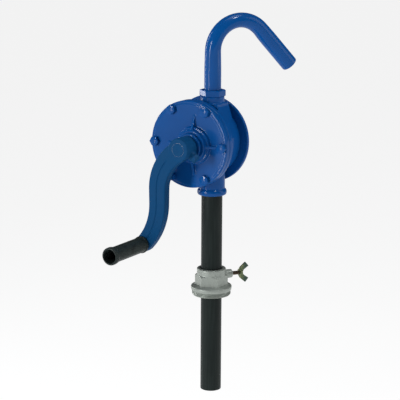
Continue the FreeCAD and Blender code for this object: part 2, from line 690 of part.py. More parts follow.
fill_sheet()
make_adapter()
make_tube_seal()
make_wing_screw()
make_suction_tube()
make_inner_tube()
make_casing()
make_lock_nut()
make_front_cover()
make_gaskets()
make_rear_cover()
make_bolts()
make_bushings()
make_packing()
make_rotor()
make_vanes()
make_springs()
make_crank()
make_set_screw()
make_handle()
make_spout()
check_and_write()
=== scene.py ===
import json
import math

import bmesh
import bpy
from mathutils import Matrix, Vector


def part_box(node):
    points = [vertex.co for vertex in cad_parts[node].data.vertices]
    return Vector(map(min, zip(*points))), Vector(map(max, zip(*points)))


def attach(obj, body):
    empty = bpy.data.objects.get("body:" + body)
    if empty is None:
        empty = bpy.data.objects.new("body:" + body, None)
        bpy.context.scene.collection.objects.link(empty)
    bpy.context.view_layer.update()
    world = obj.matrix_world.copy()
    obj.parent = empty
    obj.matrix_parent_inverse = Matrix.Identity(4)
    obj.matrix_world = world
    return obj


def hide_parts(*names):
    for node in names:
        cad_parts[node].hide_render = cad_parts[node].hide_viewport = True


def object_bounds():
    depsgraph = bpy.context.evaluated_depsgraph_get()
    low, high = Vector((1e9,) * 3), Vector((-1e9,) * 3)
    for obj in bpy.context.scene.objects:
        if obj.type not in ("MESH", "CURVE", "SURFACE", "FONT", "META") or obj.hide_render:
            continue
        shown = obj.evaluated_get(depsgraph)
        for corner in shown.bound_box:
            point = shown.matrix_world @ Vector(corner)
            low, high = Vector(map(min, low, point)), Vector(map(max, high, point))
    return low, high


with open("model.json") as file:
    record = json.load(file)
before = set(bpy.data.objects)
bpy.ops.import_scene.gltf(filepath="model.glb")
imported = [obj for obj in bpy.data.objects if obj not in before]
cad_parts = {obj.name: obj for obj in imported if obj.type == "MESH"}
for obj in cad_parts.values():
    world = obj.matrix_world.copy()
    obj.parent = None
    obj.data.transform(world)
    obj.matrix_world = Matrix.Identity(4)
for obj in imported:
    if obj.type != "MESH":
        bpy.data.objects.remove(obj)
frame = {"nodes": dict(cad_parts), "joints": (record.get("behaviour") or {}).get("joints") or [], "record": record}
cad_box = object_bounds()

MM = 0.001
UP = Vector((0, 0, 1))
BACK = Vector((0, 1, 0))
SHARP = math.radians(38)                           # a fold above this angle is drawn as an edge
SHAFT_RADIUS = 10
TUBE_RADIUS = 16
ADAPTER_BORE = 16.4
WORLD_GLOW = 0.035
FLOOR_GLOW = 0.88
FLOOR_HALF = 60.0


# ------------------------------------------------------------------ places, from the frame

def middle(node):
    low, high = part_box(node)
    return (low + high) / 2


CASING = middle("rear_cover")                      # the bore's axis runs along Y through it
GLAND = middle("packing_nut")                      # the shaft's axis runs along Y through it
HANDLE = middle("grip_spindle")                    # the grip's axis, also along Y
SCREW_JOINT = next(joint for joint in frame["joints"] if joint["name"] == "wing_screw_turn")
SCREW_AXIS = Vector(SCREW_JOINT["axis"]).normalized()
SCREW_POINT = Vector(SCREW_JOINT["pos_m"])
SPOUT_MOUNT = next(mount for mount in frame["record"]["mounts"] if mount["name"] == "spout_outlet")


# ------------------------------------------------------------------ mesh helpers (millimetres)

def soften(points, steps=5):
    """A profile of (a, b) or (a, b, radius) corners, with an arc at each corner that has a radius."""
    out = []
    for index, point in enumerate(points):
        here = Vector(point[:2])
        radius = point[2] if len(point) > 2 else 0
        if not radius:
            out.append(here)
            continue
        to_last = (Vector(points[index - 1][:2]) - here).normalized()
        to_next = (Vector(points[(index + 1) % len(points)][:2]) - here).normalized()
        half = to_last.angle(to_next) / 2
        centre = here + (to_last + to_next).normalized() * (radius / math.sin(half))
        first = here + to_last * (radius / math.tan(half)) - centre
        last = here + to_next * (radius / math.tan(half)) - centre
        turn = first.angle_signed(last)
        for step in range(steps + 1):
            out.append(centre + Matrix.Rotation(-turn * step / steps, 2) @ first)
    return out


def solid(name, bm, sharp=SHARP):
    """An object from a bmesh in millimetres: normals out, smooth faces, sharp edges kept sharp."""
    bmesh.ops.remove_doubles(bm, verts=bm.verts, dist=1e-4)
    bmesh.ops.recalc_face_normals(bm, faces=bm.faces)
    bmesh.ops.scale(bm, vec=(MM, MM, MM), verts=bm.verts)
    mesh = bpy.data.meshes.new(name)
    for face in bm.faces:
        face.smooth = True
    for edge in bm.edges:
        edge.smooth = not (edge.is_manifold and edge.calc_face_angle(0) > sharp)
    bm.to_mesh(mesh)
    bm.free()
    piece = bpy.data.objects.new(name, mesh)
    bpy.context.scene.collection.objects.link(piece)
    return piece


def stand(origin, axis=UP, roll=0):
    """The matrix that carries local Z to axis and the local origin to a point in metres."""
    turn = UP.rotation_difference(axis.normalized()).to_matrix().to_4x4()
    return Matrix.Translation(origin / MM) @ turn @ Matrix.Rotation(roll, 4, "Z")


def upright(origin):
    """The matrix that lays local X and Y on the frame's X and Z, and local Z on -Y."""
    return Matrix.Translation(origin / MM) @ Matrix.Rotation(math.pi / 2, 4, "X")


def skin(bm, rings, loop=False):
    """Faces between rings of vertices; a ring of one vertex is a pole."""
    pairs = list(zip(rings, rings[1:])) + ([(rings[-1], rings[0])] if loop else [])
    for one, two in pairs:
        count = max(len(one), len(two))
        for index in range(count):
            after = (index + 1) % count
            corners = [one[index % len(one)], one[after % len(one)],
                       two[after % len(two)], two[index % len(two)]]
            unique = list(dict.fromkeys(corners))
            if len(unique) > 2:
                bm.faces.new(unique)


def lathe(bm, profile, where, count=96, loop=False, reach=None):
    """Turns a profile of (radius, height) round local Z. reach(angle, radius, height) may change a radius."""
    rings = []
    for radius, height in profile:
        if radius < 1e-6:
            rings.append([bm.verts.new(where @ Vector((0, 0, height)))])
            continue
        ring = []
        for index in range(count):
            angle = 2 * math.pi * index / count
            far = reach(angle, radius, height) if reach else radius
            spot = Vector((far * math.cos(angle), far * math.sin(angle), height))
            ring.append(bm.verts.new(where @ spot))
        rings.append(ring)
    skin(bm, rings, loop)


def hexagon(bm, across, height, where, chamfer, low, hole=0.0, per_side=8):
    """A hexagon head or nut: its top corners are turned down to a circle, as on a real one."""
    count = 6 * per_side
    half = math.pi / 6
    rings = []
    limit = across / 2 * (1 + (1 / math.cos(half) - 1) * (1 - chamfer))

    def ring(height_at, reach_at):
        made = []
        for index in range(count):
            angle = 2 * math.pi * index / count
            offset = angle % (2 * half) - half
            flat = across / 2 / math.cos(offset)
            far = reach_at(flat)
            spot = Vector((far * math.cos(angle), far * math.sin(angle), height_at(flat)))
            made.append(bm.verts.new(where @ spot))
        return made

    fall = math.tan(math.radians(28))
    rings.append(ring(lambda flat: low, lambda flat: flat))
    rings.append(ring(lambda flat: height - max(0.0, flat - limit) * fall - 0.15, lambda flat: flat))
    rings.append(ring(lambda flat: height, lambda flat: min(flat, limit) - 0.25))
    if hole:
        rings.append(ring(lambda flat: height, lambda flat: hole + 0.4))
        rings.append(ring(lambda flat: height - 0.4, lambda flat: hole))
        rings.append(ring(lambda flat: low, lambda flat: hole))
        skin(bm, rings, loop=True)
        return
    rings.append([bm.verts.new(where @ Vector((0, 0, height)))])
    rings.insert(0, [bm.verts.new(where @ Vector((0, 0, low)))])
    skin(bm, rings)


def prism(bm, outline, depth, where):
    """A flat outline of (x, y) points, pushed out along local Z from 0 to depth."""
    low = [bm.verts.new(where @ Vector((x, y, 0))) for x, y in outline]
    high = [bm.verts.new(where @ Vector((x, y, depth))) for x, y in outline]
    bm.faces.new(list(reversed(low)))
    bm.faces.new(high)
    skin(bm, [low, high])


def apply_modifiers(piece):
    depsgraph = bpy.context.evaluated_depsgraph_get()
    mesh = bpy.data.meshes.new_from_object(piece.evaluated_get(depsgraph))
    piece.modifiers.clear()
    old = piece.data
    piece.data = mesh
    bpy.data.meshes.remove(old)


def cast(piece, voxel, passes):
    """Melts overlapping solids into one casting, with small fillets where they meet."""
    remesh = piece.modifiers.new("melt", "REMESH")
    remesh.mode = "VOXEL"
    remesh.voxel_size = voxel * MM
    remesh.use_smooth_shade = True
    smooth = piece.modifiers.new("settle", "SMOOTH")
    smooth.factor = 0.5
    smooth.iterations = passes
    apply_modifiers(piece)
    return piece


def carve(piece, tool):
    """Cuts a tool's solid out of a piece and removes the tool."""
    cut = piece.modifiers.new("carve", "BOOLEAN")
    cut.operation = "DIFFERENCE"
    cut.solver = "EXACT"
    cut.object = tool
    apply_modifiers(piece)
    bpy.data.objects.remove(tool)
    bm = bmesh.new()
    bm.from_mesh(piece.data)
    for edge in bm.edges:
        edge.smooth = not (edge.is_manifold and edge.calc_face_angle(0) > SHARP)
    bm.to_mesh(piece.data)
    bm.free()


def thread_wave(angle, height, pitch):
    """0 at a thread's crest and 1 at its root, at an angle and a height."""
    return abs(((height / pitch - angle / (2 * math.pi)) % 1.0) * 2 - 1)


def drum(bm, radius, low, high, where, rim=0.0, count=120):
    """A plain round solid from low to high, with rounded or square rims."""
    lathe(bm, soften([(0, low), (radius, low, rim), (radius, high, rim), (0, high)]), where, count)


# ------------------------------------------------------------------ materials

def linear(red, green, blue):
    """Display colour, 0 to 255, to the linear values that a shader takes."""
    out = []
    for channel in (red, green, blue):
        share = channel / 255
        out.append(share / 12.92 if share <= 0.04045 else ((share + 0.055) / 1.055) ** 2.4)
    return (*out, 1.0)


class Surface:
    """A procedural material: one shader, with noise laid over its colour, roughness and relief."""

    def __init__(self, name, color, roughness, metallic=0.0, coat=0.0, coat_roughness=0.1, specular=0.5):
        self.material = bpy.data.materials.new(name)
        self.material.use_nodes = True
        self.tree = self.material.node_tree
        self.shader = self.tree.nodes["Principled BSDF"]
        self.color = linear(*color)
        self.last_color = None
        self.last_normal = None
        self.set("Base Color", self.color)
        self.set("Roughness", roughness)
        self.set("Metallic", metallic)
        self.set("Coat Weight", coat)
        self.set("Coat Roughness", coat_roughness)
        self.set("Specular IOR Level", specular)
        self.place = self.node("ShaderNodeTexCoord").outputs["Object"]

    def node(self, kind):
        return self.tree.nodes.new(kind)

    def link(self, one, two):
        self.tree.links.new(one, two)

    def set(self, socket, value):
        self.shader.inputs[socket].default_value = value

    def noise(self, size, detail=3, stretch=(1, 1, 1), distort=0.0):
        """Noise whose features are about size millimetres, stretched along the axes."""
        mapping = self.node("ShaderNodeMapping")
        mapping.inputs["Scale"].default_value = [1 / (size * MM * way) for way in stretch]
        self.link(self.place, mapping.inputs["Vector"])
        noise = self.node("ShaderNodeTexNoise")
        noise.inputs["Scale"].default_value = 1.0
        noise.inputs["Detail"].default_value = detail
        noise.inputs["Distortion"].default_value = distort
        self.link(mapping.outputs["Vector"], noise.inputs["Vector"])
        return noise.outputs["Fac"]

    def ramp(self, source, low, high, start=0.0, end=1.0):
        """Source between low and high, spread to start..end."""
        spread = self.node("ShaderNodeMapRange")
        for name, value in (("From Min", low), ("From Max", high), ("To Min", start), ("To Max", end)):
            spread.inputs[name].default_value = value
        self.link(source, spread.inputs["Value"])
        return spread.outputs["Result"]

    def tint(self, color, amount):
        """Mixes another colour in where amount is high."""
        mix = self.node("ShaderNodeMix")
        mix.data_type = "RGBA"
        if self.last_color is None:
            mix.inputs["A"].default_value = self.color
        else:
            self.link(self.last_color, mix.inputs["A"])
        mix.inputs["B"].default_value = linear(*color)
        self.link(amount, mix.inputs["Factor"])
        self.last_color = mix.outputs["Result"]
        self.link(self.last_color, self.shader.inputs["Base Color"])
        return self

    def rough(self, source):
        self.link(source, self.shader.inputs["Roughness"])
        return self

    def relief(self, height, depth, strength=1.0):
        """Bump from a 0..1 height, whose full step is depth millimetres."""
        bump = self.node("ShaderNodeBump")
        bump.inputs["Strength"].default_value = strength
        bump.inputs["Distance"].default_value = depth * MM
        self.link(height, bump.inputs["Height"])
        if self.last_normal is not None:
            self.link(self.last_normal, bump.inputs["Normal"])
        self.last_normal = bump.outputs["Normal"]
        self.link(self.last_normal, self.shader.inputs["Normal"])
        return self

    def edges(self, low, high):
        """1 on sharp outer edges, 0 elsewhere."""
        return self.ramp(self.node("ShaderNodeNewGeometry").outputs["Pointiness"], low, high)


def blue_paint():
    """Enamel over castings: a dull uneven base under a clear skin that shows only narrow highlights."""
    paint = Surface("blue_enamel", (5, 77, 147), 0.42, coat=0.3, coat_roughness=0.09, specular=0.03)
    paint.tint((18, 72, 136), paint.ramp(paint.noise(30, 3), 0.42, 0.75, 0, 0.4))
    paint.tint((34, 92, 164), paint.ramp(paint.noise(6, 5), 0.6, 0.8, 0, 0.2))
    paint.rough(paint.ramp(paint.noise(9, 4), 0.3, 0.75, 0.34, 0.46))
    paint.relief(paint.noise(12, 2), 0.03, 0.4)
    return paint.material


def crank_paint():
    """Satin powder coat, a little greener than the casing, with a fine even grain."""
    paint = Surface("crank_enamel", (9, 68, 114), 0.48, specular=0.05)
    paint.tint((19, 69, 113), paint.ramp(paint.noise(22, 4), 0.4, 0.7, 0, 0.5))
    paint.tint((32, 86, 132), paint.ramp(paint.noise(3, 4), 0.6, 0.8, 0, 0.25))
    paint.rough(paint.ramp(paint.noise(6, 3), 0.3, 0.7, 0.42, 0.54))
    paint.relief(paint.noise(0.7, 3), 0.03, 0.6)
    paint.relief(paint.noise(9, 2), 0.12, 0.4)
    return paint.material


def black_tube():
    """Black coated drawn tube: faint lengthwise draw lines and a fine dusty grain."""
    paint = Surface("black_tube_coat", (25, 34, 33), 0.4, specular=0.14)
    paint.tint((42, 51, 50), paint.ramp(paint.noise(2.2, 5, (1, 1, 30)), 0.45, 0.75, 0, 0.6))
    paint.tint((70, 78, 74), paint.ramp(paint.noise(0.8, 4), 0.66, 0.8, 0, 0.45))
    paint.tint((15, 20, 21), paint.ramp(paint.noise(30, 3, (1, 1, 2)), 0.45, 0.7, 0, 0.5))
    paint.rough(paint.ramp(paint.noise(1.6, 4, (1, 1, 12)), 0.3, 0.7, 0.36, 0.55))
    paint.relief(paint.noise(0.9, 3, (1, 1, 14)), 0.03, 0.6)
    paint.relief(paint.noise(0.5, 3), 0.025, 0.6)
    return paint.material


def cast_zinc():
    """Bare die-cast metal: sandy skin, faint cloudy oxide and a lighter tint on sharp outer edges."""
    metal = Surface("cast_zinc", (160, 167, 161), 0.46, metallic=0.55)
    metal.tint((128, 135, 129), metal.ramp(metal.noise(1.6, 4, (1, 1, 0.5)), 0.45, 0.72, 0, 0.6))
    metal.tint((190, 196, 189), metal.ramp(metal.noise(2, 4, (1, 1, 3)), 0.6, 0.8, 0, 0.4))
    # a lighter tint on sharp outer edges, from the surface's pointiness
    metal.tint((214, 218, 210), metal.edges(0.53, 0.62))
    metal.rough(metal.ramp(metal.noise(4, 4), 0.3, 0.7, 0.36, 0.5))
    metal.relief(metal.noise(0.5, 4), 0.04, 0.5)
    metal.relief(metal.noise(5, 3), 0.08, 0.3)
    return metal.material


def chromated_zinc():
    """Yellow chromate: an olive and gold film, with a painted brown reflection along the threaded stem."""
    metal = Surface("yellow_chromate", (112, 122, 88), 0.34, metallic=0.85)
    metal.tint((74, 92, 72), metal.ramp(metal.noise(3.2, 4, distort=0.8), 0.42, 0.66, 0, 0.85))
    metal.tint((206, 200, 128), metal.ramp(metal.noise(2.2, 3), 0.56, 0.74, 0, 0.7))
    along = metal.node("ShaderNodeVectorMath")
    along.operation = "DOT_PRODUCT"
    metal.link(metal.place, along.inputs[0])
    along.inputs[1].default_value = SCREW_AXIS
    reach = 45.4 * MM
    metal.tint((66, 84, 74), metal.ramp(along.outputs["Value"], reach + 5 * MM, reach + 10 * MM))
    # painted reflection: the threaded stem below the hub is tinted brown
    metal.tint((98, 84, 70), metal.ramp(along.outputs["Value"], reach + 0.6 * MM, reach - 0.6 * MM))
    metal.rough(metal.ramp(metal.noise(1.5, 3), 0.3, 0.7, 0.26, 0.46))
    metal.relief(metal.noise(0.5, 3), 0.03, 0.5)
    return metal.material


def black_grip():
    """Moulded black plastic with faint lengthwise lines and handling marks."""
    plastic = Surface("black_grip", (38, 47, 46), 0.38, specular=0.16)
    plastic.tint((48, 57, 55), plastic.ramp(plastic.noise(1.4, 4, (1, 22, 1)), 0.5, 0.78, 0, 0.5))
    plastic.tint((14, 16, 17), plastic.ramp(plastic.noise(8, 3), 0.45, 0.7, 0, 0.6))
    plastic.rough(plastic.ramp(plastic.noise(3, 4), 0.3, 0.7, 0.32, 0.5))
    plastic.relief(plastic.noise(1.1, 2, (1, 18, 1)), 0.06, 0.6)
    plastic.relief(plastic.noise(0.4, 2), 0.02, 0.6)
    return plastic.material


def plain(name, color, roughness, metallic, spot, size, depth, stretch=(1, 1, 1)):
    """The pieces that are mostly hidden: a base colour, a second tone and a fine relief."""
    surface = Surface(name, color, roughness, metallic=metallic)
    surface.tint(spot, surface.ramp(surface.noise(size, 4, stretch), 0.42, 0.7, 0, 0.7))
    surface.rough(surface.ramp(surface.noise(size * 0.6, 3), 0.3, 0.7, roughness - 0.08, roughness + 0.1))
    surface.relief(surface.noise(size * 0.3, 3, stretch), depth, 0.6)
    return surface.material


FINISH = {
    "blue_paint": blue_paint(),
    "crank_paint": crank_paint(),
    "black_tube": black_tube(),
    "cast_zinc": cast_zinc(),
    "chromated_zinc": chromated_zinc(),
    "black_grip": black_grip(),
    "rubber": plain("black_rubber", (22, 22, 23), 0.7, 0.0, (38, 38, 38), 2.0, 0.03),
    "gasket_paper": plain("gasket_fibre", (116, 98, 70), 0.85, 0.0, (84, 70, 50), 1.2, 0.05),
    "bronze": plain("turned_bronze", (176, 128, 70), 0.32, 1.0, (136, 92, 48), 2.5, 0.02, (1, 12, 1)),
    "packing_cord": plain("greased_packing", (104, 98, 86), 0.75, 0.0, (62, 58, 50), 1.5, 0.2),
    "bare_steel": plain("turned_steel", (152, 153, 155), 0.4, 0.9, (145, 146, 148), 9.0, 0.003),
    "spring_steel": plain("spring_wire", (120, 121, 124), 0.34, 1.0, (84, 84, 88), 1.0, 0.01),
    "vane_plastic": plain("vane_composite", (172, 136, 92), 0.5, 0.0, (134, 102, 66), 2.0, 0.02, (1, 8, 1)),
}


def finish_with(piece, body, slot, *replaced):
    """Gives a new piece its finish and its body, and hides the CAD nodes it stands for."""
    piece.data.materials.clear()
    piece.data.materials.append(FINISH[slot])
    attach(piece, body)
    if replaced:
        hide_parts(*replaced)
    return piece


def finish_frame():
    """CAD nodes that stay get the finish of their own slot."""
    slots = {part["node"]: part["material_slot"] for part in frame["record"]["subparts"]}
    for name, node in frame["nodes"].items():
        for index in range(max(1, len(node.data.materials))):
            if index < len(node.data.materials):
                node.data.materials[index] = FINISH[slots[name]]
            else:
                node.data.materials.append(FINISH[slots[name]])


# ------------------------------------------------------------------ casing and covers

def make_casing():
    """Casing: flange, barrel, square port shoulder above, round neck and bead below."""
    low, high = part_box("pump_body")
    front, bottom, top = low.y / MM, low.z / MM, high.z / MM
    axis = stand(Vector((CASING.x, 0, CASING.z)), BACK)
    tube = stand(Vector((0, 0, 0)))
    radius = (high.x - low.x) / MM / 2
    bm = bmesh.new()
    drum(bm, radius, front + 0.05, front + 9.7, axis, 1.6)
    barrel_end = high.y / MM
    drum(bm, 54, front + 4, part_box("rear_cover")[0].y / MM - 0.3, axis)
    side = 18.5
    outline = soften([(-side, -side, 6), (side, -side, 6), (side, side, 6), (-side, side, 6)], 6)
    centre = CASING.z / MM
    prism(bm, outline, top - 9.5 - centre, stand(Vector((0, 0, CASING.z))))
    lathe(bm, soften([(0, top - 20), (17.8, top - 20), (17.8, top, 0.6), (0, top)]), tube)
    profile = soften([(0, bottom), (21.6, bottom, 2.4), (22.7, bottom + 4.3, 6), (21.6, bottom + 8.6, 2.4),
                      (19.6, bottom + 9.2, 1), (19.6, centre - 30), (0, centre - 30)])
    lathe(bm, profile, tube)
    # the sloping shoulder from the upper block down onto the barrel
    outline = [(8, centre + 27), (28, centre + 27), (22.5, centre + 43), (18.2, centre + 57),
               (8, centre + 58)]
    prism(bm, outline, 34, upright(Vector((0, 0.017, 0))))
    piece = cast(solid("pump_body_cast", bm), 0.8, 7)
    bore = bmesh.new()
    drum(bore, 43, front - 3, barrel_end + 5, axis)
    carve(piece, solid("bore_tool", bore))
    ports = bmesh.new()
    drum(ports, 16.05, bottom - 3, 175, tube)
    drum(ports, 12.75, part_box("discharge_spout")[0].z / MM - 0.5, top + 3, tube)
    carve(piece, solid("port_tool", ports))
    return finish_with(piece, "pump", "blue_paint", "pump_body")


def make_front_cover():
    """Round cover: rounded rim, faint ring step, two-step boss and four tapering ribs."""
    low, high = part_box("front_cover")
    radius = (high.z - low.z) / MM / 2
    back, front = high.y / MM, low.y / MM
    face = back - 9.0
    plate = stand(Vector((CASING.x, 0, CASING.z)), BACK)
    shaft = stand(Vector((GLAND.x, 0, GLAND.z)), BACK)
    bm = bmesh.new()
    lathe(bm, soften([(0, face), (61, face, 0.3), (61.5, face + 0.55, 0.3), (radius, face + 0.55, 1.9),
                      (radius, back, 0.5), (0, back)]), plate, 180)
    lathe(bm, soften([(0, face - 5), (28, face - 5, 1.6), (28.4, face + 2), (0, face + 2)]), shaft, 120)
    lathe(bm, soften([(0, front), (24, front, 1.6), (24.4, face - 4), (0, face - 4)]), shaft, 120)
    for index in range(4):
        end = 39.5 if index == 0 else 46.5
        outline = [(0, 2), (end, 2), (end - 1.5, -0.8), (24, -8.2), (0, -8.2)]
        turn = Matrix.Rotation(math.pi / 2 * index, 4, "Y")
        where = Matrix.Translation(Vector((GLAND.x, 0, GLAND.z)) / MM) @ turn
        where = where @ Matrix.Translation((0, face, -1.9))
        prism(bm, outline, 3.8, where)
    piece = cast(solid("front_cover_cast", bm), 0.5, 2)
    hole = bmesh.new()
    drum(hole, 17.4, front - 3, -38.2, shaft)
    carve(piece, solid("cover_tool", hole))
    return finish_with(piece, "pump", "blue_paint", "front_cover")


def make_rear_cover():
    """Round rear plate with a bearing boss and six ribs."""
    low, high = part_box("rear_cover")
    radius = (high.z - low.z) / MM / 2
    front, back = low.y / MM, high.y / MM
    face = front + 6.1
    plate = stand(Vector((CASING.x, 0, CASING.z)), BACK)
    shaft = stand(Vector((GLAND.x, 0, GLAND.z)), BACK)
    bm = bmesh.new()
    lathe(bm, soften([(0, front), (radius, front, 1.5), (radius, face, 1.9), (0, face)]), plate, 180)
    lathe(bm, soften([(0, back), (18.6, back, 2), (19.6, face - 3), (0, face - 3)]), shaft, 96)
    for index in range(6):
        turn = Matrix.Rotation(math.pi / 3 * index, 4, "Y")
        where = Matrix.Translation(Vector((GLAND.x, 0, GLAND.z)) / MM) @ turn
        prism(bm, [(0, -2), (33, -2), (31, 0.8), (17, 7), (0, 7)], 3.6,
              where @ Matrix.Translation((0, face, -1.8)))
    piece = cast(solid("rear_cover_cast", bm), 0.6, 5)
    pocket = bmesh.new()
    drum(pocket, 13.5, front - 3, back - 3.5, shaft)
    carve(piece, solid("pocket_tool", pocket))
    return finish_with(piece, "pump", "blue_paint", "rear_cover")


def make_bolts():
    """Six bolts in front, each head with a washer face, and six screws behind; every head has turned-down corners.
    """
    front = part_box("cover_bolts")[0].y / MM
    bm = bmesh.new()
    for index in range(6):
        angle = math.pi / 3 * index
        spot = Vector((CASING.x + 58.5 * MM * math.cos(angle), 0, CASING.z + 58.5 * MM * math.sin(angle)))
        where = stand(spot, -BACK, 0.35 * (index - 3))
        hexagon(bm, 13, -front, where, 0.3, -front - 5)
        drum(bm, 6.4, -front - 5.6, -front - 4.6, where, 0.2, 48)
        drum(bm, 4, 20, -front - 5.2, where, count=32)
    finish_with(solid("cover_bolt_set", bm), "pump", "blue_paint", "cover_bolts")
    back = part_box("rear_cover_screws")[1].y / MM
    bm = bmesh.new()
    for index in range(6):
        angle = math.pi / 3 * (index + 0.5)
        spot = Vector((CASING.x + 48.5 * MM * math.cos(angle), 0, CASING.z + 48.5 * MM * math.sin(angle)))
        where = stand(spot, BACK, 0.4 * index)
        hexagon(bm, 10, back, where, 0.75, back - 4)
        drum(bm, 3, 10, back - 3.9, where, count=32)
    finish_with(solid("rear_screw_set", bm), "pump", "blue_paint", "rear_cover_screws")


def make_packing_nut():
    low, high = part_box("packing_nut")
    front, back = low.y / MM, high.y / MM
    shaft = stand(Vector((GLAND.x, 0, GLAND.z)), BACK)
    bm = bmesh.new()
    outer = soften([(10.4, front + 1.2), (11.6, front), (20.2, front, 1.6), (20.2, front + 3.2, 0.6),
                    (19, front + 3.8, 0.4), (19, back - 7), (17.35, back - 7), (17.35, back), (10.4, back)])
    lathe(bm, outer, shaft, 120, loop=True)
    return finish_with(solid("packing_nut_turned", bm), "pump", "blue_paint", "packing_nut")


def make_lock_nut():
    low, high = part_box("spout_lock_nut")
    height = (high.z - low.z) / MM
    bm = bmesh.new()
    where = stand(Vector((0, 0, low.z)), UP, math.pi / 6)
    hexagon(bm, 34.2, height, where, 0.45, 0.0, hole=12.8, per_side=12)
    piece = cast(solid("spout_lock_nut_cast", bm), 0.45, 14)
    return finish_with(piece, "pump", "blue_paint", "spout_lock_nut")


# ------------------------------------------------------------------ tubes and spout

def make_suction_tube():
    low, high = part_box("suction_tube")
    bm = bmesh.new()
    inner = TUBE_RADIUS - 1.8
    bottom, top = low.z / MM, high.z / MM
    profile = soften([(inner, bottom, 0.4), (TUBE_RADIUS, bottom, 0.5), (TUBE_RADIUS, top), (inner, top)])
    lathe(bm, profile, stand(Vector()), 128, loop=True)
    return finish_with(solid("suction_tube_drawn", bm), "pump", "black_tube", "suction_tube")


def make_spout():
    """Bent pipe: round at both ends, flattened by the bend, with a slight buckle at its inner end."""
    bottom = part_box("discharge_spout")[0].z / MM
    way = Vector(SPOUT_MOUNT["axis"])
    level = Vector((way.x, way.y, 0)).normalized()
    turn = math.acos(way.z)
    bend, start, tail = 45.2, 366.3, 76.0
    leg = start - bottom
    length = leg + bend * turn + tail

    def path(run):
        """The centre line's place and heading angle from +Z, run millimetres from the foot."""
        if run < leg:
            return Vector((0, 0, bottom + run)), 0.0
        angle = min((run - leg) / bend, turn)
        here = Vector((0, 0, start)) + level * bend * (1 - math.cos(angle)) + UP * bend * math.sin(angle)
        beyond = max(0.0, run - leg - bend * turn)
        return here + (level * math.sin(angle) + UP * math.cos(angle)) * beyond, angle

    def section(run):
        """Half widths of the pipe in the bend's plane and across it."""
        share = (run - leg) / (bend * turn)
        squash = 0.0 if share <= -0.25 or share >= 1.2 else math.sin(math.pi * (share + 0.25) / 1.45) ** 1.3
        base = 12.7 - 0.15 * run / length
        return base - 1.7 * squash, base + 0.2 * squash

    def ring(bm, run, inset):
        here, angle = path(run)
        ahead = level * math.sin(angle) + UP * math.cos(angle)
        inward = level * math.cos(angle) - UP * math.sin(angle)
        across = ahead.cross(inward)
        near, wide = section(run)
        buckle = 0.3 * math.exp(-((run - leg - bend * turn) / 5.0) ** 2)
        made = []
        for index in range(96):
            spin = 2 * math.pi * index / 96
            dent = buckle * max(0.0, math.cos(spin)) ** 4
            toward = inward * (near - inset - dent) * math.cos(spin)
            made.append(bm.verts.new(here + toward + across * (wide - inset) * math.sin(spin)))
        return made

    count = 110
    runs = [length * index / count for index in range(count)]
    bm = bmesh.new()
    rings = [ring(bm, run, 0) for run in runs]
    rings += [ring(bm, length - 0.7, 0.0), ring(bm, length - 0.25, 0.15), ring(bm, length, 0.55)]
    rings += [ring(bm, length, 1.1), ring(bm, length - 0.4, 1.6)]
    rings += [ring(bm, run, 1.6) for run in reversed(runs)]
    skin(bm, rings, loop=True)
    return finish_with(solid("discharge_spout_bent", bm), "spout", "blue_paint", "discharge_spout")


# ------------------------------------------------------------------ crank and grip

def crank_line(share):
    """The crank's centre line from the shaft (share 0) to the grip (1): place (x, z) and heading."""
    one, straight, two = 68.3, 22.4, 93.7
    angle_one, angle_two = math.radians(64), math.radians(43.9)
    total = one * angle_one + straight + two * angle_two
    run = share * total
    corner_x, corner_z = 31 - one, -63.6
    if run < one * angle_one:
        angle = math.pi - angle_one + run / one
        return (31 + one * math.cos(angle), corner_z + one * math.sin(angle)), angle + math.pi / 2
    run -= one * angle_one
    if run < straight:
        return (corner_x, corner_z - run), 1.5 * math.pi
    angle = -(run - straight) / two
    place = (corner_x - two + two * math.cos(angle), corner_z - straight + two * math.sin(angle))
    return place, 1.5 * math.pi + angle


